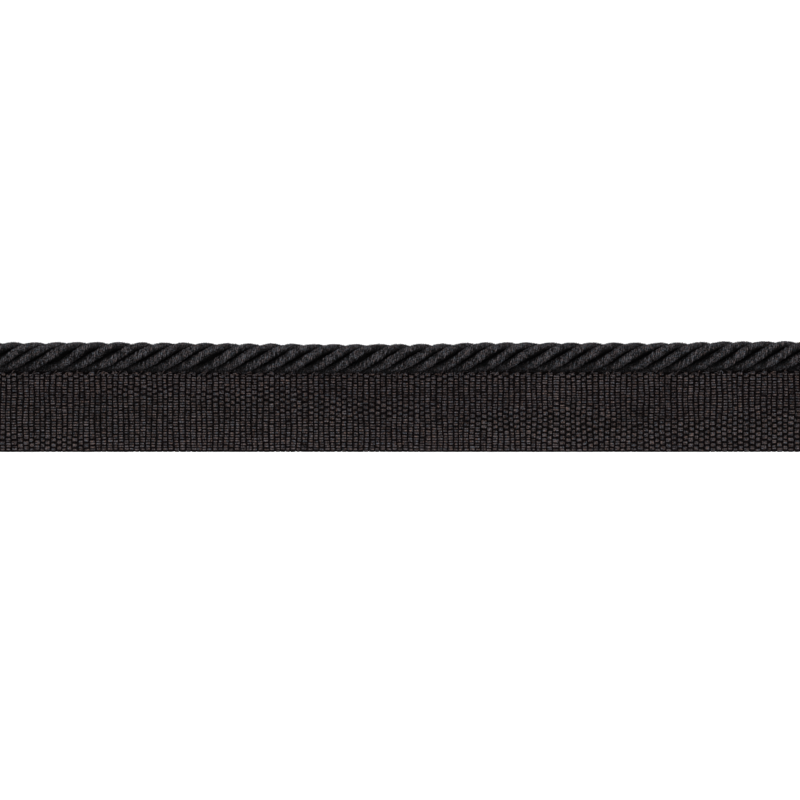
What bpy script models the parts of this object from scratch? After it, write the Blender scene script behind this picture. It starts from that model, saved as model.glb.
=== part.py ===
"""A short cut length of flanged twisted cord trim: a five-strand cord with a woven tape along one side.

It lies flat on z = 0 with its length along X, the cord on its +Y side and the tape on its -Y side.
Run it with blender --background --python part.py, or from Blender's text editor.
"""

import math

import bmesh
import bpy
from mathutils import Vector

MM = 0.001

# The cut length, and the two widths that such trim is known by: a 3/16 inch cord on a 1/2 inch tape,
# which shows a little less than its full width beside the cord
LENGTH = 150 * MM
CORD_DIAMETER = 4.76 * MM
TAPE_WIDTH = 12.6 * MM
TAPE_THICKNESS = 1.0 * MM

# The cord's lay: one strand follows the next at this spacing along the cord, in a left-handed twist
STRANDS = 5
STRAND_SPACING = 3.405 * MM
STRAND_DIAMETER = 1.45 * MM

# How finely the twist is stepped
RINGS_PER_TURN = 16
POINTS_PER_STRAND = 7

# The cord's rounds are pressed this much where they rest, and it stands this far from the tape beside it
PRESSED_FLAT = 0.08 * MM
SEAM_GAP = 0.30 * MM

# The tape's flat top stops this far short of the cord's side, so that a plate can lie on it
TOP_CLEARANCE = 0.12 * MM
TAPE_STATIONS = 48

# The cord's middle line isn't quite straight: places along X and how far it stands to +Y there, in mm
CORD_WANDER = (
    (-75, 0.06), (-60, 0.10), (-48, 0.125), (-35, 0.025), (-22, -0.10), (-9, -0.21),
    (3, -0.155), (16, 0.08), (29, 0.05), (41, 0.02), (54, 0.25), (75, 0.27),
)

CORD_RADIUS = CORD_DIAMETER / 2
STRAND_RADIUS = STRAND_DIAMETER / 2
STRAND_ORBIT = CORD_RADIUS - STRAND_RADIUS
LEAD = STRANDS * STRAND_SPACING
CORD_HEIGHT = CORD_RADIUS - PRESSED_FLAT

# Colour, roughness and metallic value: near-black yarn, the tape a touch warmer than the cord
CORD_YARN = ((0.020, 0.018, 0.019), 0.85, 0.0)
TAPE_YARN = ((0.024, 0.020, 0.020), 0.90, 0.0)


def clear_scene():
    """Start from an empty scene."""
    for item in list(bpy.data.objects):
        bpy.data.objects.remove(item, do_unlink=True)


def smooth_step(share):
    """Ease from 0 to 1 with no kink at either end."""
    return share * share * (3 - 2 * share)


def wander(x):
    """How far the cord's middle line stands to +Y at x."""
    place = x / MM
    for (x0, y0), (x1, y1) in zip(CORD_WANDER, CORD_WANDER[1:]):
        if place <= x1:
            share = smooth_step(max(0.0, (place - x0) / (x1 - x0)))
            return (y0 + (y1 - y0) * share) * MM
    return CORD_WANDER[-1][1] * MM


def swept(section, steps, turn):
    """Carry a closed outline from one end of the trim to the other, turning it on the way, and cap both ends."""
    mesh = bmesh.new()
    corners = [mesh.verts.new(point) for point in section]
    edges = [mesh.edges.new(pair) for pair in zip(corners, corners[1:] + corners[:1])]
    bmesh.ops.spin(
        mesh,
        geom=corners + edges,
        cent=Vector(),
        axis=Vector((1, 0, 0)),
        dvec=Vector((LENGTH / steps, 0, 0)),
        angle=turn,
        steps=steps,
        use_merge=False,
    )
    open_edges = [edge for edge in mesh.edges if edge.is_boundary]
    bmesh.ops.holes_fill(mesh, edges=open_edges, sides=0)
    return mesh


def finish(mesh, name, finish_values):
    """Make the object, with its faces outwards and its own material."""
    bmesh.ops.recalc_face_normals(mesh, faces=mesh.faces)
    data = bpy.data.meshes.new(name)
    mesh.to_mesh(data)
    mesh.free()
    colour, roughness, metallic = finish_values
    material = bpy.data.materials.new(name)
    material.use_nodes = True
    shader = material.node_tree.nodes["Principled BSDF"]
    shader.inputs["Base Color"].default_value = (*colour, 1)
    shader.inputs["Roughness"].default_value = roughness
    shader.inputs["Metallic"].default_value = metallic
    data.materials.append(material)
    item = bpy.data.objects.new(name, data)
    bpy.context.collection.objects.link(item)
    return item


def lobed_outline():
    """The cord cut square across. A strand lies aslant, so its cut is wider round the cord than towards its middle."""
    slant = math.atan(2 * math.pi * STRAND_ORBIT / LEAD)
    half_angle = STRAND_RADIUS / math.cos(slant) / STRAND_ORBIT
    outline = []
    for strand in range(STRANDS):
        middle = 2 * math.pi * strand / STRANDS
        for point in range(POINTS_PER_STRAND):
            around = math.pi * (point / (POINTS_PER_STRAND - 1) - 0.5)
            radius = STRAND_ORBIT + STRAND_RADIUS * math.cos(around)
            angle = middle + half_angle * math.sin(around)
            outline.append((-LENGTH / 2, radius * math.cos(angle), -radius * math.sin(angle)))
    return outline


def twisted_cord():
    """One solid with a ridge for each strand, its middle line over y = 0, resting on small flats."""
    steps = round(LENGTH / LEAD * RINGS_PER_TURN)
    mesh = swept(lobed_outline(), steps, -2 * math.pi * LENGTH / LEAD)
    for corner in mesh.verts:
        corner.co.y += wander(corner.co.x)
        corner.co.z = max(0.0, corner.co.z + CORD_HEIGHT)
    return finish(mesh, "twisted_cord", CORD_YARN)


def round_side(z):
    """How far from the cord's middle line the tape's inner edge stands at height z, a seam gap from the cord."""
    return math.sqrt((CORD_RADIUS + SEAM_GAP) ** 2 - (CORD_HEIGHT - z) ** 2)


def woven_tape():
    """A flat tape whose inner edge tucks in under the cord's side and follows it; its outer edge is straight."""
    outer = -CORD_RADIUS - TAPE_WIDTH
    section = [
        (-LENGTH / 2, outer, 0),
        (-LENGTH / 2, -round_side(0), 0),
        (-LENGTH / 2, -round_side(TAPE_THICKNESS / 2), TAPE_THICKNESS / 2),
        (-LENGTH / 2, -CORD_RADIUS - TOP_CLEARANCE, TAPE_THICKNESS),
        (-LENGTH / 2, outer, TAPE_THICKNESS),
    ]
    mesh = swept(section, TAPE_STATIONS, 0)
    for corner in mesh.verts:
        if corner.co.y > outer / 2:
            corner.co.y += wander(corner.co.x)
    return finish(mesh, "woven_tape", TAPE_YARN)


def centre(items):
    """Slide the pieces together along Y until the middle of the whole trim stands over the origin."""
    sides = [corner.co.y for item in items for corner in item.data.vertices]
    shift = -(min(sides) + max(sides)) / 2
    for item in items:
        for corner in item.data.vertices:
            corner.co.y += shift


clear_scene()
centre([twisted_cord(), woven_tape()])
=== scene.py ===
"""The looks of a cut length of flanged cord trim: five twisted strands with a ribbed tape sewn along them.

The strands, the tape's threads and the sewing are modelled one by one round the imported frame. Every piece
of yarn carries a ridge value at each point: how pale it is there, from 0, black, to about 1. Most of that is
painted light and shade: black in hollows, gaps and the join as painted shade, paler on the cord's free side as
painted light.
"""

import math

import bpy
import numpy as np
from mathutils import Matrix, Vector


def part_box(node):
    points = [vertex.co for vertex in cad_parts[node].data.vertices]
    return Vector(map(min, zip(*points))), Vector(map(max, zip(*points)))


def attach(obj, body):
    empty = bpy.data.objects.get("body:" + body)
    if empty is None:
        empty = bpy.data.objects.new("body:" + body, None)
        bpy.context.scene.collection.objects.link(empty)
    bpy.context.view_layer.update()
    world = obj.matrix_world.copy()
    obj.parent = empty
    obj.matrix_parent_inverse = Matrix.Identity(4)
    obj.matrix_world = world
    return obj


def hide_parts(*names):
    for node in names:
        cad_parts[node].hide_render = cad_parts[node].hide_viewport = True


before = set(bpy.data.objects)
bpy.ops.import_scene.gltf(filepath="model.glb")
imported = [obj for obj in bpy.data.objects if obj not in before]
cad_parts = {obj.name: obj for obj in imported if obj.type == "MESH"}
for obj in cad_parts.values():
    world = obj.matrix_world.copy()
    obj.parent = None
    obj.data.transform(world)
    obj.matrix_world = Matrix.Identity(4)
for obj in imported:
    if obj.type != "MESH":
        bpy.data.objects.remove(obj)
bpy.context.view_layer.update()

MM = 0.001
TURN = 2 * math.pi

# The trim's sizes, the same as in the solids
LENGTH = 150 * MM
CORD_DIAMETER = 4.76 * MM
TAPE_WIDTH = 12.6 * MM
TAPE_THICKNESS = 1.0 * MM
STRANDS = 5
STRAND_SPACING = 3.405 * MM
STRAND_DIAMETER = 1.45 * MM
PRESSED_FLAT = 0.08 * MM

# The cord's middle line isn't quite straight: places along X and how far it stands to +Y there, in mm
CORD_WANDER = (
    (-75, 0.06), (-60, 0.10), (-48, 0.125), (-35, 0.025), (-22, -0.10), (-9, -0.21),
    (3, -0.155), (16, 0.08), (29, 0.05), (41, 0.02), (54, 0.25), (75, 0.27),
)

# The tape's warp ends drift likewise, less and less towards the tape's straight edge
WARP_WANDER = (
    (-75, 0.03), (-60, 0.03), (-36, 0.12), (-20, 0.08), (-12, 0.17), (4, 0.02), (28, -0.02),
    (44, 0.06), (60, 0.23), (75, 0.25),
)
STRAIGHT_EDGE_WANDER = 0.3
WARP_ENDS_TO_FULL_WANDER = 18

# The cord's middle is a filler yarn that shows black between the strands
CORE_RADIUS = 1.0 * MM
CORE_RINGS = 121
CORE_SIDES = 12
CORE_WEAR = 0.03

# A strand is yarns wound side by side at a steep slant to it, longer than it by the take-up.
# It is made a little too long, and then cut square.
YARNS_PER_STRAND = 8
POINTS_PER_YARN = 3
YARN_TURN = 3.67 * MM
YARN_GROOVE = 0.11 * MM
YARN_TAKE_UP = 1.6
RINGS_PER_YARN_TURN = 26
STRAND_OVERRUN = 0.6 * MM
CUT_TOLERANCE = 0.0001 * MM

# A strand slips a little round the cord (in radians), swells and thins, and its yarns are lumpy. The sizes
# are the distances over which each changes.
SLIP = 0.085
SLIP_SIZE = 12 * MM
SWELL = 0.03
SWELL_SIZE = 4 * MM
LUMP_HEIGHT = 0.035 * MM
YARN_LUMPS = 0.6
YARN_LUMP_SIZE = 0.8 * MM
YARN_LUMPS_APART = 7.0 * MM
FIBRE_LUMPS = 0.8
FIBRE_LUMP_SIZE = 0.5 * MM

# Where a strand's crest starts, as a share of its radius out from its middle line, and how it comes in
CREST_START = 0.44
CREST_START_VARIES = 0.11
CREST_START_SIZE = 2.4 * MM
CREST_SPREAD = 0.55
CREST_LUMPS = 0.34
CREST_CURVE = 1.12

# Lumps are worn paler than hollows, within limits
TONE_LUMPS = 0.30
DARKEST_TONE = 0.2
PALEST_TONE = 1.8

# How pale a strand is painted: between crests, what a crest adds, and the shares of it in a groove and on a
# yarn. The near black between crests and in the yarn grooves is painted shade in the hollows.
TOP_BETWEEN = 0.045
TOP_CREST = 0.94
TOP_GROOVE = 0.4
TOP_YARN = 1.0
# On the cord's free side: painted light, paler all over, as the bounce from the white floor makes it
FREE_BETWEEN = 0.45
FREE_CREST = 0.55
FREE_GROOVE = 0.5
FREE_YARN = 1.05
# Painted light: strand sides facing the cord's free side are paler and those facing the tape darker, as a soft
# key light from the free side would make them
PAINTED_KEY_LIGHT = 0.20

# Where that changes round the cord: starts and ends, aside from its middle line. Towards the tape it is
# evenly dim first, painted shade on the side turned from the light, and then black in the join, painted shade
# in the crevice under the cord.
FREE_SIDE = (0.95 * MM, 2.10 * MM)
DIM_SIDE = (0.70 * MM, 1.60 * MM)
DIM_SHADE_LEVEL = 0.30
DIM_SHARE = 0.22
JOIN_SIDE = (1.65 * MM, 2.15 * MM)
JOIN_PAINTED_SHADE = 0.75

# Short fibre ends lie loose on a strand, between two angles round it from its outermost line. A fibre goes
# partly along the strand and partly round it, more or less so as it leans, and its tip is thin and lifts off.
FIBRES_PER_STRAND = 1150
FIBRE_RADIUS = 0.030 * MM
FIBRE_ROOT = 1.1
FIBRE_ANGLES = (-1.25, 1.4)
FIBRE_LENGTHS = (0.5 * MM, 1.1 * MM)
FIBRE_LIFT = 0.09 * MM
FIBRE_ALONG = 0.6
FIBRE_ROUND = 0.8
FIBRE_LEAN = 0.8
FIBRE_LEAN_VARIES = 0.8
# A fibre's painted glint: a random share, kept only in part low round the strand as painted shade
FIBRE_PAINTED_GLINT = (0.5, 1.9)
FIBRE_PAINTED_SHADE_LOW_DOWN = 0.25
FIBRE_SHARES = (0.0, 0.5, 1.0)

# The tape's weave: warp ends run along it and float over a pick each, and the picks lie across it as ribs.
# A float has rings at these shares of its pick, lifted by these shares of its rise.
WARP_ENDS = 30
PICKS = 169
PICK_VARIES = 0.05
FLOAT_RISE = 0.30 * MM
FLOAT_HALF_THICKNESS = 0.17 * MM
RINGS_IN_PICK = (0.115, 0.195, 0.805, 0.885)
LIFT_IN_PICK = (0.15, 1.00, 1.00, 0.15)
POINT_SPACING = 0.22 * MM
ENDS_PER_PIECE = 8

# A float cut across: each point's place to the side in mm, its height in half-thicknesses, and how pale it is
# painted: pale on the plies' tops, black down their sides and between them as painted shade.
# A warp end is two plies, so a float shows either two ridges or, where they have closed up, one.
PLIES_APART = np.array([
    (0.37, -0.6, 0.0), (0.28, 0.8, 1.0), (0.18, 1.0, 1.0), (0.0, -1.0, -0.2), (-0.18, 1.0, 1.0),
    (-0.28, 0.8, 1.0), (-0.37, -0.6, 0.0), (-0.2, -0.9, 0.0), (0.2, -0.9, 0.0),
])
PLIES_CLOSED = np.array([
    (0.34, -0.5, 0.0), (0.23, 0.6, 0.9), (0.12, 1.0, 1.0), (0.0, 1.0, 0.9), (-0.12, 1.0, 1.0),
    (-0.23, 0.6, 0.9), (-0.34, -0.5, 0.0), (-0.2, -0.9, 0.0), (0.2, -0.9, 0.0),
])
UNDERSIDE_BELOW = -0.8

# Where floats have closed up: the patch's middle along X and up from the tape's edge, then half-sizes, in mm
CLOSED_PATCHES = (
    (-55.5, 1.4, 7.0, 1.3), (-40.5, 9.6, 7.5, 1.0), (-23.0, 8.8, 12.0, 1.6), (-6.0, 6.8, 13.0, 1.7),
    (6.5, 12.1, 7.0, 0.9), (17.0, 5.0, 8.0, 2.0), (27.5, 4.0, 9.0, 3.6), (44.0, 2.4, 13.0, 2.6),
    (58.0, 3.4, 9.0, 3.6), (-66.0, 2.5, 5.0, 2.0), (70.0, 4.0, 6.0, 3.5),
)
PATCH_CORE = 2.0
PATCH_FALL = 1.5

# They have also closed up along the cord, from this height above the tape's edge, here more and there less
CLOSED_AT_JOIN = (11.2 * MM, 11.9 * MM)
CLOSED_AT_JOIN_SHARE = 0.7
CLOSED_AT_JOIN_VARIES = 0.5
CLOSED_AT_JOIN_SIZE = 9 * MM

# How uneven the floats are, float by float and by slow drifts along the tape
CLOSED_VARIES = 0.15
STRETCH_CLOSED = 0.08
STRETCH_VARIES = 0.07
STRETCH_LIMITS = (0.8, 1.2)
SHIFT_VARIES = 0.03
SHIFT_LIMIT = 2
WIDTH_IN_DIP = 0.5
WIDTH_VARIES = 0.04
ASIDE_VARIES = 0.035 * MM
ASIDE_DRIFT = 0.03 * MM
ASIDE_DRIFT_SIZE = 9 * MM
ALONG_DRIFT = 0.10 * MM
ALONG_DRIFT_SIZE = 8 * MM
RISE_VARIES = 0.07
STRAIGHT_EDGE_RISE = 0.6

# How pale the floats are, from the tape's straight edge up to the cord, and how that varies. Darker towards the
# middle is painted shade, and paler by the join is painted light against the cord's shadow there.
EDGE_TONE = 1.20
MIDDLE_DARKER = 0.18
MIDDLE = (1.5 * MM, 6.5 * MM)
JOIN_PALER = 0.33
JOIN = (9.1 * MM, 12.0 * MM)
CLOSED_DARKER = 0.24
TONE_DRIFT = 0.05
TONE_DRIFT_SIZE = 34 * MM
TONE_DRIFT_ACROSS = 2.5
TONE_VARIES = 0.10
PLY_TONE_VARIES = 0.15
FLECK_ABOVE = 2.2
FLECK_TONE = 0.45
TONE_LIMITS = (0.3, 2.0)
FLOAT_BLACK = 0.015
FLOAT_TOP_PALER = 0.8
FLOAT_TOP_PALER_CURVE = 1.5
STRAIGHT_EDGE_DARK = 0.22 * MM
STRAIGHT_EDGE_DARKEST = 0.1

# The weft turns back at the tape's inner edge in small arched loops, whose ends dip by a share of the arch
SELVEDGE_POINTS = 7
SELVEDGE_THREAD = 0.10 * MM
SELVEDGE_TOPS = (-0.20 * MM, 0.05 * MM)
SELVEDGE_WIDTHS = (0.8, 1.05)
SELVEDGE_WEAR = (0.4, 1.0)
SELVEDGE_DEPTH = 0.35 * MM
SELVEDGE_HEIGHT = 0.55 * MM
SELVEDGE_ARCH = 0.25 * MM
SELVEDGE_DIP = 0.4

# Bits of fine thread stand out of the join: middle along X, height above the tape's edge, half-width, in mm
STRAY_LOOPS = (
    (-46.7, 12.15, 0.36), (-45.3, 12.65, 0.26), (-31.9, 11.7, 0.22), (-26.8, 12.9, 0.18), (8.5, 12.45, 0.20),
    (10.5, 12.95, 0.20), (14.6, 12.85, 0.22), (15.4, 12.40, 0.18), (33.0, 12.5, 0.20), (51.0, 12.6, 0.24),
)
STRAY_POINTS = 9
STRAY_THREAD = 0.075 * MM
STRAY_WEAR = 1.7
STRAY_LEAN = 0.4
STRAY_TALL = 1.2
STRAY_PAST_HALF_TURN = 0.6
STRAY_HEIGHT = 0.95 * MM
STRAY_ARCH = 0.35 * MM

# A stitch goes up into each gap between strands: along X from the gap, aside from the cord's middle, and up
STITCH = ((-0.5, -2.95, 0.85), (-0.3, -2.7, 1.02), (0.0, -2.3, 1.2), (0.5, -1.75, 1.65), (0.9, -1.1, 2.0))
STITCH_THREAD = 0.09 * MM
STITCH_WEAR = 0.5
STITCHES_START = 1.0 * MM
STITCHES_STOP = 1.2 * MM

# A direction that no loop or stitch runs along, to set out its sides from
ACROSS_THREADS = (0.0, 0.35, 1.0)

# The cloth between the floats is a thin sheet that reaches in under the cord's side
GROUND_THICKNESS = 0.24 * MM
GROUND_MARGIN = 0.08 * MM
GROUND_WEAR = 0.05
GROUND_CELLS = (120, 8)

CORD_RADIUS = CORD_DIAMETER / 2
STRAND_RADIUS = STRAND_DIAMETER / 2
STRAND_ORBIT = CORD_RADIUS - STRAND_RADIUS
LEAD = STRANDS * STRAND_SPACING
CORD_HEIGHT = CORD_RADIUS - PRESSED_FLAT
RISE = TURN * STRAND_ORBIT / LEAD
SLANT = math.hypot(1, RISE)
END_PITCH = TAPE_WIDTH / WARP_ENDS
PICK_PITCH = LENGTH / PICKS
TAPE_EDGE_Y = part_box("woven_tape")[0].y
CORD_Y = TAPE_EDGE_Y + TAPE_WIDTH + CORD_RADIUS
GROUND_TUCK = CORD_RADIUS - 1.15 * MM

# The photograph's frame: 800 pixels show 127 mm, and the tape's straight edge is 52 pixels below the middle
VIEW_WIDTH = 127 * MM
MIDDLE_ABOVE_EDGE = 52.0 / 800 * VIEW_WIDTH
CAMERA_HEIGHT = 1.2
SENSOR_WIDTH = 36

# Yarn is drawn with fibres this many times as long as wide. Its speckle is the product of two noises and lies
# round the middle of that, and its dye turns from cool to warm over the tint size, between two noise values.
FIBRE_ASPECT = 8
SPECKLE_MIDDLE = 0.25
TINT_SIZE = 0.33 * MM
COOLEST_NOISE = 0.3
WARMEST_NOISE = 0.7
YARN_BUMP = 0.02 * MM


def smooth_step(share):
    """Ease from 0 to 1 with no kink at either end."""
    return share * share * (3 - 2 * share)


def ramp(place, start, end):
    """Ease from 0 at the start to 1 at the end, and stay there."""
    return smooth_step(np.clip((place - start) / (end - start), 0, 1))


def wander(x, table=CORD_WANDER):
    """How far the cord's middle line, or the line of another table, stands to +Y at each x."""
    places = np.array([place for place, _ in table]) * MM
    sides = np.array([side for _, side in table]) * MM
    x = np.clip(x, places[0], places[-1])
    left = np.clip(np.searchsorted(places, x, side="right") - 1, 0, len(places) - 2)
    share = (x - places[left]) / (places[left + 1] - places[left])
    return sides[left] + (sides[left + 1] - sides[left]) * smooth_step(share)


def drift(*places, size, seed, waves=7):
    """A smooth random value, mostly within -1 to 1, that changes over about this size."""
    dice = np.random.default_rng(seed)
    total = 0.0
    for _ in range(waves):
        heading = dice.normal(size=len(places))
        heading *= dice.uniform(0.6, 1.4) / np.linalg.norm(heading)
        phase = dice.uniform(0, TURN)
        along = sum(place * part for place, part in zip(places, heading))
        total = total + np.sin(TURN * along / size + phase)
    return total / math.sqrt(waves)


def linear(hex_colour):
    """An sRGB hex colour as linear values, with a full alpha."""
    parts = [int(hex_colour[place:place + 2], 16) / 255 for place in (0, 2, 4)]
    return (*(part / 12.92 if part <= 0.04045 else ((part + 0.055) / 1.055) ** 2.4 for part in parts), 1)


def add(tree, kind, inputs=None, **settings):
    """Add a node with its settings, and fill or link its inputs."""
    made = tree.nodes.new(kind)
    for name, value in settings.items():
        setattr(made, name, value)
    for name, value in (inputs or {}).items():
        if isinstance(value, bpy.types.NodeSocket):
            tree.links.new(value, made.inputs[name])
        else:
            made.inputs[name].default_value = value
    return made


def yarn_material(name, dark, warm, cool, fibre_mm, fleck_mm, half_spread):
    """Dyed spun yarn, matt: fibres along it and a speckled dye, mixed from black up to the dye by the ridge
    value, which is mostly painted light and shade, so black in the gaps as painted shade.

    Fibres and speckles are drawn coarser than life, or they would be too fine to show.
    """
    material = bpy.data.materials.new(name)
    material.use_nodes = True
    tree = material.node_tree
    shader = tree.nodes["Principled BSDF"]
    along = add(tree, "ShaderNodeUVMap", uv_map="yarn").outputs["UV"]
    place = add(tree, "ShaderNodeTexCoord").outputs["Object"]
    fibre_scale = (1 / (FIBRE_ASPECT * fibre_mm * MM), 1 / (fibre_mm * MM), 1)
    stretched = add(tree, "ShaderNodeMapping", {"Vector": along, "Scale": fibre_scale}).outputs["Vector"]
    fibre_noise = {"Vector": stretched, "Scale": 1.0, "Detail": 2.0}
    fleck_noise = {"Vector": place, "Scale": 1 / (fleck_mm * MM), "Detail": 1.0}
    tint_noise = {"Vector": place, "Scale": 1 / TINT_SIZE, "Detail": 1.0}
    fibres = add(tree, "ShaderNodeTexNoise", fibre_noise).outputs["Fac"]
    flecks = add(tree, "ShaderNodeTexNoise", fleck_noise).outputs["Fac"]
    tints = add(tree, "ShaderNodeTexNoise", tint_noise).outputs["Fac"]
    ridge = add(tree, "ShaderNodeAttribute", attribute_name="ridge").outputs["Fac"]
    both = add(tree, "ShaderNodeMath", {0: fibres, 1: flecks}, operation="MULTIPLY").outputs["Value"]
    lowest = SPECKLE_MIDDLE - half_spread
    levels = {"Value": both, "From Min": lowest, "From Max": SPECKLE_MIDDLE + half_spread}
    speckle = add(tree, "ShaderNodeMapRange", levels).outputs["Result"]
    painted_light_share = add(tree, "ShaderNodeMath", {0: speckle, 1: ridge}, operation="MULTIPLY").outputs["Value"]
    levels = {"Value": tints, "From Min": COOLEST_NOISE, "From Max": WARMEST_NOISE}
    warmth = add(tree, "ShaderNodeMapRange", levels).outputs["Result"]
    dye = add(tree, "ShaderNodeMix", {"Factor": warmth}, data_type="RGBA")
    dye.inputs["A"].default_value = linear(cool)
    dye.inputs["B"].default_value = linear(warm)
    colour = add(tree, "ShaderNodeMix", {"Factor": painted_light_share}, data_type="RGBA")
    colour.inputs["A"].default_value = linear(dark)
    tree.links.new(dye.outputs["Result"], colour.inputs["B"])
    tree.links.new(colour.outputs["Result"], shader.inputs["Base Color"])
    bump = add(tree, "ShaderNodeBump", {"Height": fibres, "Strength": 0.6, "Distance": YARN_BUMP})
    tree.links.new(bump.outputs["Normal"], shader.inputs["Normal"])
    shader.inputs["Roughness"].default_value = 0.85
    shader.inputs["Specular IOR Level"].default_value = 0.01
    return material


def loft(name, tubes, material):
    """Join closed tubes into one mesh. Each is (rings of points, lengths along, lengths round, ridge values)."""
    points = []
    ridges = []
    faces = []
    uvs = []
    start = 0
    for rings, along, around, ridge in tubes:
        count, sides = rings.shape[:2]
        points.append(rings.reshape(-1, 3))
        ridges.append(np.broadcast_to(ridge, (count, sides)).reshape(-1))
        row, column = np.meshgrid(np.arange(count - 1), np.arange(sides), indexing="ij")
        right = (column + 1) % sides
        corners = [(row, column), (row, right), (row + 1, right), (row + 1, column)]
        quads = np.stack([start + r * sides + c for r, c in corners], -1).reshape(-1, 4)
        faces += quads.tolist()
        closed = np.append(around, around[-1] + around[1] - around[0])
        u = np.stack([along[row], along[row], along[row + 1], along[row + 1]], -1)
        v = np.stack([closed[column], closed[column + 1], closed[column + 1], closed[column]], -1)
        uvs.append(np.stack([u, v], -1).reshape(-1, 2))
        for ring, order in ((0, -1), (count - 1, 1)):
            faces.append((start + ring * sides + np.arange(sides)[::order]).tolist())
            uvs.append(np.stack([np.full(sides, along[ring]), around[::order]], -1))
        start += count * sides
    mesh = bpy.data.meshes.new(name)
    mesh.from_pydata(np.concatenate(points).tolist(), [], faces)
    layer = mesh.uv_layers.new(name="yarn")
    layer.data.foreach_set("uv", np.concatenate(uvs).astype(np.float32).ravel())
    marks = mesh.attributes.new("ridge", "FLOAT", "POINT")
    marks.data.foreach_set("value", np.concatenate(ridges).astype(np.float32))
    mesh.polygons.foreach_set("use_smooth", [True] * len(mesh.polygons))
    mesh.materials.append(material)
    mesh.update()
    piece = bpy.data.objects.new(name, mesh)
    bpy.context.collection.objects.link(piece)
    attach(piece, "root")
    return piece


def cut_square(piece):
    """Cut a strand off square at both ends of the trim, and close the cuts."""
    bpy.ops.object.select_all(action="DESELECT")
    bpy.context.view_layer.objects.active = piece
    bpy.ops.object.mode_set(mode="EDIT")
    for end in (-1, 1):
        bpy.ops.mesh.select_all(action="SELECT")
        bpy.ops.mesh.bisect(
            plane_co=(end * LENGTH / 2, 0, 0),
            plane_no=(end, 0, 0),
            use_fill=True,
            clear_outer=True,
            threshold=CUT_TOLERANCE,
        )
    bpy.ops.object.mode_set(mode="OBJECT")


def strand_path(number, x):
    """A strand's middle points, its heading, and the ways out from the cord and sideways to both."""
    slip = SLIP * drift(x, size=SLIP_SIZE, seed=40 + number)
    turn = TURN * (number / STRANDS + (x + LENGTH / 2) / LEAD) + slip
    out_y = np.cos(turn)
    out_z = -np.sin(turn)
    y = CORD_Y + wander(x) + STRAND_ORBIT * out_y
    middle = np.stack([x, y, CORD_HEIGHT + STRAND_ORBIT * out_z], -1)
    outward = np.stack([0 * x, out_y, out_z], -1)
    heading = np.stack([1 + 0 * x, RISE * out_z, -RISE * out_y], -1) / SLANT
    return middle, heading, outward, np.cross(heading, outward)


def strand_painted_light(crest_start, from_axis, aside, facing_out, lump, in_groove):
    """How pale each point of a strand is painted: pale on its crests with painted shade between them and in the
    yarn grooves, painted light all over on the cord's free side and on sides facing it, and painted shade
    towards the tape and in the join.
    """
    out = (from_axis - STRAND_ORBIT) / STRAND_RADIUS
    crest = np.clip((out - crest_start) / CREST_SPREAD + CREST_LUMPS * lump, 0, 1)
    tone = np.clip(1 + TONE_LUMPS * lump, DARKEST_TONE, PALEST_TONE)
    top_share = np.where(in_groove, TOP_GROOVE, TOP_YARN)
    free_share = np.where(in_groove, FREE_GROOVE, FREE_YARN)
    top = (TOP_BETWEEN + TOP_CREST * crest ** CREST_CURVE) * top_share * tone
    free = (FREE_BETWEEN + FREE_CREST * crest) * free_share * tone
    painted_light_and_tone = top + (free - top) * ramp(aside, *FREE_SIDE)
    painted_light_and_tone *= 1 + PAINTED_KEY_LIGHT * facing_out
    painted_light_and_tone += (DIM_SHADE_LEVEL * tone - painted_light_and_tone) * DIM_SHARE * ramp(-aside, *DIM_SIDE)
    return painted_light_and_tone * (1 - JOIN_PAINTED_SHADE * ramp(-aside, *JOIN_SIDE))


def strand(number, material):
    """One strand of the cord: yarns wound side by side round it, laid in a helix, flattened where it rests."""
    half = LENGTH / 2 + STRAND_OVERRUN
    x = np.linspace(-half, half, round(2 * half * SLANT / YARN_TURN * RINGS_PER_YARN_TURN))
    length = x * SLANT
    middle, _, outward, sideways = strand_path(number, x)
    sides = YARNS_PER_STRAND * POINTS_PER_YARN
    point = np.arange(sides)
    yarn = point // POINTS_PER_YARN
    in_groove = point % POINTS_PER_YARN == 0
    angle = TURN * point / sides - TURN * length[:, None] / YARN_TURN
    swell = drift(length, size=SWELL_SIZE, seed=10 + number)[:, None]
    yarn_lumps = drift(length[:, None], YARN_LUMPS_APART * yarn, size=YARN_LUMP_SIZE, seed=20 + number, waves=9)
    round_it = STRAND_RADIUS * angle
    fibre_lumps = drift(length[:, None], round_it, size=FIBRE_LUMP_SIZE, seed=70 + number, waves=11)
    lump = YARN_LUMPS * yarn_lumps + FIBRE_LUMPS * fibre_lumps
    radius = STRAND_RADIUS * (1 + SWELL * swell) + LUMP_HEIGHT * lump - YARN_GROOVE * in_groove
    away = np.cos(angle)[..., None] * outward[:, None] + np.sin(angle)[..., None] * sideways[:, None]
    surface = middle[:, None] + radius[..., None] * away
    surface[..., 2] = np.maximum(surface[..., 2], 0)
    aside = surface[..., 1] - CORD_Y - wander(x)[:, None]
    from_axis = np.hypot(aside, surface[..., 2] - CORD_HEIGHT)
    crest_start = CREST_START + CREST_START_VARIES * drift(length, size=CREST_START_SIZE, seed=60 + number)
    painted_light_and_tone = strand_painted_light(crest_start[:, None], from_axis, aside, away[..., 1], lump, in_groove)
    around = point * TURN * STRAND_RADIUS / sides
    tube = (surface, length * YARN_TAKE_UP, around, painted_light_and_tone)
    piece = loft(f"cord_strand_{number + 1}", [tube], material)
    cut_square(piece)
    return piece


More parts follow.
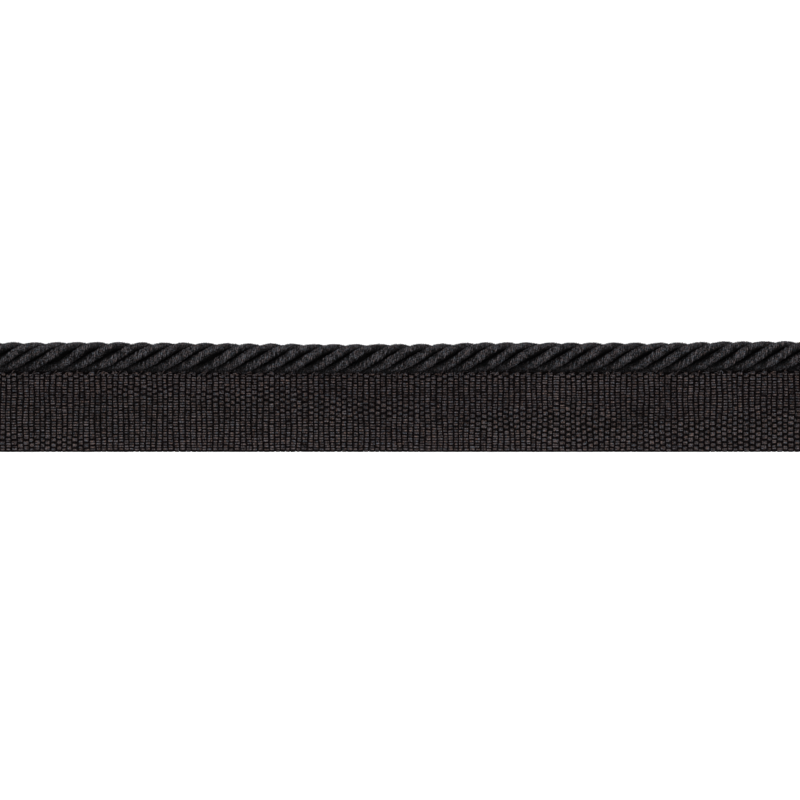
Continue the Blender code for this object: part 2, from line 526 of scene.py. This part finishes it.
def loose_fibres(material):
    """Short fibre ends lying along the wound yarns and lifting a little off them."""
    dice = np.random.default_rng(21)
    corner = TURN * np.arange(3) / 3
    tubes = []
    for number in range(STRANDS):
        first_x = dice.uniform(-LENGTH / 2 + MM, LENGTH / 2 - MM, FIBRES_PER_STRAND)
        first_angle = dice.uniform(*FIBRE_ANGLES, FIBRES_PER_STRAND)
        reach = dice.uniform(*FIBRE_LENGTHS, FIBRES_PER_STRAND)
        lift = dice.uniform(0.0, FIBRE_LIFT, FIBRES_PER_STRAND)
        lean = dice.normal(FIBRE_LEAN, FIBRE_LEAN_VARIES, FIBRES_PER_STRAND)
        rings = []
        for share in FIBRE_SHARES:
            x = first_x + share * reach * FIBRE_ALONG / SLANT
            angle = first_angle - share * reach * FIBRE_ROUND * lean / STRAND_RADIUS
            middle, heading, outward, sideways = strand_path(number, x)
            away = np.cos(angle)[:, None] * outward + np.sin(angle)[:, None] * sideways
            side = FIBRE_ALONG * np.cross(heading, away) + FIBRE_ROUND * lean[:, None] * heading
            side /= np.linalg.norm(side, axis=1)[:, None]
            centre = middle + (STRAND_RADIUS + share * lift)[:, None] * away
            ring = np.cos(corner)[:, None] * away[:, None] + np.sin(corner)[:, None] * side[:, None]
            rings.append(centre[:, None] + FIBRE_RADIUS * (FIBRE_ROOT - share) * ring)
        rings = np.stack(rings, 1)
        rings[..., 2] = np.maximum(rings[..., 2], 0)
        # Painted glints on the fibres, random from fibre to fibre, with painted shade on those low round the
        # strand
        lit_high_up = FIBRE_PAINTED_SHADE_LOW_DOWN + (1 - FIBRE_PAINTED_SHADE_LOW_DOWN) * np.cos(first_angle) ** 2
        painted_light_and_tone = lit_high_up * dice.uniform(*FIBRE_PAINTED_GLINT, FIBRES_PER_STRAND)
        for fibre in range(FIBRES_PER_STRAND):
            along = np.array(FIBRE_SHARES) * reach[fibre]
            tubes.append((rings[fibre], along, corner * FIBRE_RADIUS, painted_light_and_tone[fibre]))
    return loft("cord_fibres", tubes, material)


def core(material):
    """The filler yarn down the cord's middle."""
    x = np.linspace(-LENGTH / 2, LENGTH / 2, CORE_RINGS)
    around = TURN * np.arange(CORE_SIDES) / CORE_SIDES
    y = (CORD_Y + wander(x))[:, None] + CORE_RADIUS * np.cos(around)
    z = CORD_HEIGHT + CORE_RADIUS * np.sin(around)
    rings = np.stack(np.broadcast_arrays(x[:, None], y, z), -1)
    return loft("cord_core", [(rings, x, around * CORE_RADIUS, CORE_WEAR)], material)


def in_closed_patches(x, up):
    """How far the plies at x, and at this height above the tape's edge, have closed up, from 0 to 1."""
    closed = 0.0 * x
    for middle_x, middle_up, half_x, half_up in CLOSED_PATCHES:
        reach = np.hypot((x / MM - middle_x) / half_x, (up / MM - middle_up) / half_up)
        closed = np.maximum(closed, np.clip(PATCH_CORE - PATCH_FALL * reach, 0, 1))
    return closed


def float_painted_light_and_tone(x, up, closed, lift, section, toning, plies, specks):
    """How pale each point of a warp end is painted: pale on top of the floats and underneath on those below,
    black in the dips and down the plies' sides as painted shade, and a tone across the tape that is partly
    painted shade and light.
    """
    # Painted shade towards the tape's middle, painted light by the join against the cord's shadow
    paler = EDGE_TONE - MIDDLE_DARKER * ramp(up, *MIDDLE) - CLOSED_DARKER * closed
    paler += JOIN_PALER * ramp(up, *JOIN)
    paler += TONE_DRIFT * drift(x, TONE_DRIFT_ACROSS * up, size=TONE_DRIFT_SIZE, seed=11)
    flecks = PLY_TONE_VARIES * specks + FLECK_TONE * (specks > FLECK_ABOVE)
    upper_ply = PLY_TONE_VARIES * plies[0] + flecks[:, 0]
    lower_ply = PLY_TONE_VARIES * plies[1] + flecks[:, 1]
    between = 0 * x
    uneven = np.stack([upper_ply] * 3 + [between] + [lower_ply] * 3 + [between] * 2, -1)
    tone = (paler + TONE_VARIES * toning)[:, None] + uneven
    on_top = np.clip(section[..., 2], 0, 1) * np.clip(lift, 0, 1)[:, None]
    underneath = np.clip(-lift, 0, 1)[:, None]
    painted_light_share = np.where(section[..., 1] < UNDERSIDE_BELOW, underneath, on_top)
    return FLOAT_BLACK + FLOAT_TOP_PALER * painted_light_share ** FLOAT_TOP_PALER_CURVE * np.clip(tone, *TONE_LIMITS)


def warp_end(number, edges, dice):
    """One warp end of the tape: a doubled yarn that floats over a pick, dips, and passes under the next."""
    pick = np.repeat(np.arange(PICKS), len(RINGS_IN_PICK))
    draws = dice.normal(size=(9, PICKS))[:, pick]
    closing, narrowing, siding, rising, toning, upper, lower, stretching, shifting = draws
    specks = dice.normal(size=(len(pick), 2))
    x = (edges[pick] + edges[pick + 1]) / 2
    up = (number + 0.5) * END_PITCH + 0 * x
    lift = np.tile(LIFT_IN_PICK, PICKS) * np.where((pick + number) % 2 == 0, 1, -1)

    at_join = CLOSED_AT_JOIN_SHARE + CLOSED_AT_JOIN_VARIES * drift(x, size=CLOSED_AT_JOIN_SIZE, seed=3)
    closed = np.maximum(in_closed_patches(x, up), ramp(up, *CLOSED_AT_JOIN) * at_join)
    closed = np.clip(closed + CLOSED_VARIES * closing, 0, 1)
    section = PLIES_APART + closed[:, None, None] * (PLIES_CLOSED - PLIES_APART)

    stretch = np.clip(1 + STRETCH_CLOSED * closed + STRETCH_VARIES * stretching, *STRETCH_LIMITS)
    shift = SHIFT_VARIES * np.clip(shifting, -SHIFT_LIMIT, SHIFT_LIMIT)
    share = (np.tile(RINGS_IN_PICK, PICKS) - 0.5) * stretch + shift
    x = x + share * (edges[pick + 1] - edges[pick])

    width = (WIDTH_IN_DIP + (1 - WIDTH_IN_DIP) * np.abs(lift)) * (1 + WIDTH_VARIES * narrowing)
    aside = ASIDE_VARIES * siding + ASIDE_DRIFT * drift(x, up, size=ASIDE_DRIFT_SIZE, seed=5)
    aside += wander(x, WARP_WANDER) * min(1, STRAIGHT_EDGE_WANDER + number / WARP_ENDS_TO_FULL_WANDER)
    to_side = section[..., 0] * MM * width[:, None] + aside[:, None]
    height = FLOAT_RISE * lift * (1 + RISE_VARIES * rising)
    if number == 0:
        to_side = np.maximum(to_side, -END_PITCH / 2)
        height = height * STRAIGHT_EDGE_RISE

    along = ALONG_DRIFT * drift(x, up, size=ALONG_DRIFT_SIZE, seed=4)
    ring_x = (x + along)[:, None] + 0 * to_side
    ring_x[0] = -LENGTH / 2
    ring_x[-1] = LENGTH / 2
    ring_z = TAPE_THICKNESS / 2 + height[:, None] + FLOAT_HALF_THICKNESS * section[..., 1]
    ring_z = np.clip(ring_z, 0, TAPE_THICKNESS)
    rings = np.stack([ring_x, TAPE_EDGE_Y + up[:, None] + to_side, ring_z], -1)

    painted_light_and_tone = float_painted_light_and_tone(x, up, closed, lift, section, toning, (upper, lower), specks)
    if number == 0:
        from_edge = (to_side + END_PITCH / 2) / STRAIGHT_EDGE_DARK
        painted_light_and_tone = painted_light_and_tone * smooth_step(np.clip(from_edge, STRAIGHT_EDGE_DARKEST, 1))
    return rings, x, np.arange(len(PLIES_APART)) * POINT_SPACING, painted_light_and_tone


def thread(points, radius, ridge, sides=6):
    """A round thread through these points, as a tube for loft."""
    points = np.asarray(points, float)
    heading = np.gradient(points, axis=0)
    heading /= np.linalg.norm(heading, axis=1)[:, None]
    side = np.cross(heading, ACROSS_THREADS)
    side /= np.linalg.norm(side, axis=1)[:, None]
    over = np.cross(side, heading)
    corner = TURN * np.arange(sides) / sides
    ring = np.cos(corner)[:, None] * side[:, None] + np.sin(corner)[:, None] * over[:, None]
    rings = points[:, None] + radius * ring
    steps = np.linalg.norm(np.diff(points, axis=0), axis=1)
    return rings[:, ::-1], np.append(0, np.cumsum(steps)), corner * radius, ridge


def selvedge(material, edges):
    """The weft turning back at the tape's inner edge: a small loop for every two picks."""
    dice = np.random.default_rng(8)
    swing = np.linspace(math.pi, 0, SELVEDGE_POINTS)
    across = np.concatenate([[-1.0], np.cos(swing), [1.0]])
    out = np.concatenate([[-1.0], np.sin(swing), [-1.0]])
    arch = np.concatenate([[-SELVEDGE_DIP], np.sin(swing), [-SELVEDGE_DIP]])
    tubes = []
    for pick in range(0, PICKS - 1, 2):
        middles = (edges[pick:pick + 2] + edges[pick + 1:pick + 3]) / 2
        half = (middles[1] - middles[0]) / 2 * dice.uniform(*SELVEDGE_WIDTHS)
        top = TAPE_EDGE_Y + TAPE_WIDTH + dice.uniform(*SELVEDGE_TOPS)
        x = middles.mean() + half * across
        y = top + SELVEDGE_DEPTH * (out - 1)
        z = SELVEDGE_HEIGHT + SELVEDGE_ARCH * arch
        tubes.append(thread(np.stack([x, y, z], -1), SELVEDGE_THREAD, dice.uniform(*SELVEDGE_WEAR)))
    return loft("tape_selvedge", tubes, material)


def stray_loops(material):
    """Fine loops of thread pulled up out of the join between tape and cord."""
    dice = np.random.default_rng(9)
    swing = np.linspace(-STRAY_PAST_HALF_TURN, math.pi + STRAY_PAST_HALF_TURN, STRAY_POINTS)
    tubes = []
    for middle, up, half in STRAY_LOOPS:
        lean = dice.uniform(-STRAY_LEAN, STRAY_LEAN)
        x = middle * MM + half * MM * (np.cos(swing) + lean * np.sin(swing))
        y = TAPE_EDGE_Y + up * MM + STRAY_TALL * half * MM * np.sin(swing)
        z = STRAY_HEIGHT + STRAY_ARCH * np.sin(swing)
        tubes.append(thread(np.stack([x, y, z], -1), STRAY_THREAD, STRAY_WEAR))
    return loft("stray_thread", tubes, material)


def sewing(material):
    """The thread that holds the tape to the cord, one stitch up into each gap between strands."""
    gap = (LEAD * (0.5 - 0.5 / STRANDS) - LENGTH / 2) % STRAND_SPACING
    gaps = np.arange(gap, LENGTH - STITCHES_STOP, STRAND_SPACING) - LENGTH / 2
    tubes = []
    for place in gaps[gaps >= STITCHES_START - LENGTH / 2]:
        y = CORD_Y + float(wander(np.array([place]))[0])
        points = [(place + along * MM, y + aside * MM, up * MM) for along, aside, up in STITCH]
        tubes.append(thread(points, STITCH_THREAD, STITCH_WEAR))
    return loft("sewing_thread", tubes, material)


def pick_edges():
    """Where each pick of the tape starts and ends along X: nearly even, as cloth is."""
    dice = np.random.default_rng(6)
    edges = np.arange(PICKS + 1) * PICK_PITCH - LENGTH / 2
    edges[1:-1] += PICK_VARIES * PICK_PITCH * dice.normal(size=PICKS - 1)
    return edges


def tape_threads(material, edges):
    """All the warp ends, joined a few to a piece."""
    dice = np.random.default_rng(7)
    ends = [warp_end(number, edges, dice) for number in range(WARP_ENDS)]
    pieces = []
    for first in range(0, len(ends), ENDS_PER_PIECE):
        name = f"tape_warp_{len(pieces) + 1}"
        pieces.append(loft(name, ends[first:first + ENDS_PER_PIECE], material))
    return pieces


def tape_ground(material):
    """The tape's cloth between its floats: a thin sheet whose inner edge follows the cord."""
    bpy.ops.object.select_all(action="DESELECT")
    along, across = GROUND_CELLS
    bpy.ops.mesh.primitive_grid_add(x_subdivisions=along, y_subdivisions=across, size=1)
    ground = bpy.context.object
    ground.name = "tape_ground"
    mesh = ground.data
    for corner in mesh.vertices:
        x = corner.co.x * LENGTH
        share = corner.co.y + 0.5
        inner = TAPE_WIDTH + GROUND_TUCK + float(wander(np.array([x]))[0])
        y = TAPE_EDGE_Y + GROUND_MARGIN + share * (inner - GROUND_MARGIN)
        corner.co = (x, y, TAPE_THICKNESS / 2)
    solid = ground.modifiers.new("thickness", "SOLIDIFY")
    solid.thickness = GROUND_THICKNESS
    solid.offset = 0
    bpy.ops.object.modifier_apply(modifier=solid.name)
    layer = mesh.uv_layers.new(name="yarn")
    for loop in mesh.loops:
        place = mesh.vertices[loop.vertex_index].co
        layer.data[loop.index].uv = (place.y, place.x)
    marks = mesh.attributes.new("ridge", "FLOAT", "POINT")
    marks.data.foreach_set("value", [GROUND_WEAR] * len(mesh.vertices))
    mesh.materials.append(material)
    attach(ground, "root")
    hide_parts("woven_tape")
    return ground


def floor():
    """A plain pale surface under the trim: matt white board."""
    bpy.ops.object.select_all(action="DESELECT")
    bpy.ops.mesh.primitive_plane_add(size=6, location=(0, 0, 0))
    surface = bpy.context.object
    surface.name = "pale_floor"
    material = bpy.data.materials.new("matt_white_board")
    material.use_nodes = True
    shader = material.node_tree.nodes["Principled BSDF"]
    shader.inputs["Base Color"].default_value = linear("f1f1f1")
    shader.inputs["Roughness"].default_value = 0.9
    surface.data.materials.append(material)


def lights():
    """A white surround, brightest overhead, and a weak soft key from the cord's side."""
    world = bpy.data.worlds.new("studio")
    world.use_nodes = True
    tree = world.node_tree
    surround = tree.nodes["Background"]
    surround.inputs["Color"].default_value = (1, 1, 1, 1)
    way = add(tree, "ShaderNodeTexCoord").outputs["Generated"]
    upward = add(tree, "ShaderNodeSeparateXYZ", {"Vector": way}).outputs["Z"]
    levels = {"Value": upward, "From Min": 0.0, "From Max": 1.0, "To Min": 0.4, "To Max": 3.0}
    glow = add(tree, "ShaderNodeMapRange", levels)
    tree.links.new(glow.outputs["Result"], surround.inputs["Strength"])
    bpy.context.scene.world = world
    sun = bpy.data.lights.new("soft_key", "SUN")
    sun.energy = 0.3
    sun.angle = math.radians(25)
    lamp = bpy.data.objects.new("soft_key", sun)
    lamp.rotation_euler = (math.radians(-45), math.radians(-12), 0)
    bpy.context.collection.objects.link(lamp)


def camera():
    """Straight above the trim through a long lens, framed as the photograph is."""
    data = bpy.data.cameras.new("camera")
    data.sensor_width = SENSOR_WIDTH
    data.lens = SENSOR_WIDTH * (CAMERA_HEIGHT - TAPE_THICKNESS) / VIEW_WIDTH
    item = bpy.data.objects.new("camera", data)
    item.location = (0, TAPE_EDGE_Y + MIDDLE_ABOVE_EDGE, CAMERA_HEIGHT)
    bpy.context.collection.objects.link(item)
    bpy.context.scene.camera = item


camera()
lights()
floor()
bpy.context.scene.view_settings.view_transform = "Standard"

cord_yarn = yarn_material("black_spun_cord_yarn", "040404", "473e3d", "3c4147", 0.11, 0.19, 0.066)
tape_yarn = yarn_material("warm_black_tape_yarn", "030202", "5a4a44", "484c53", 0.10, 0.19, 0.09)

strands = [strand(number, cord_yarn) for number in range(STRANDS)]
core(cord_yarn)
loose_fibres(cord_yarn)
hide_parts("twisted_cord")
edges = pick_edges()
threads = tape_threads(tape_yarn, edges)
threads.append(selvedge(tape_yarn, edges))
tape_ground(tape_yarn)
stray_loops(tape_yarn)
sewing(tape_yarn)
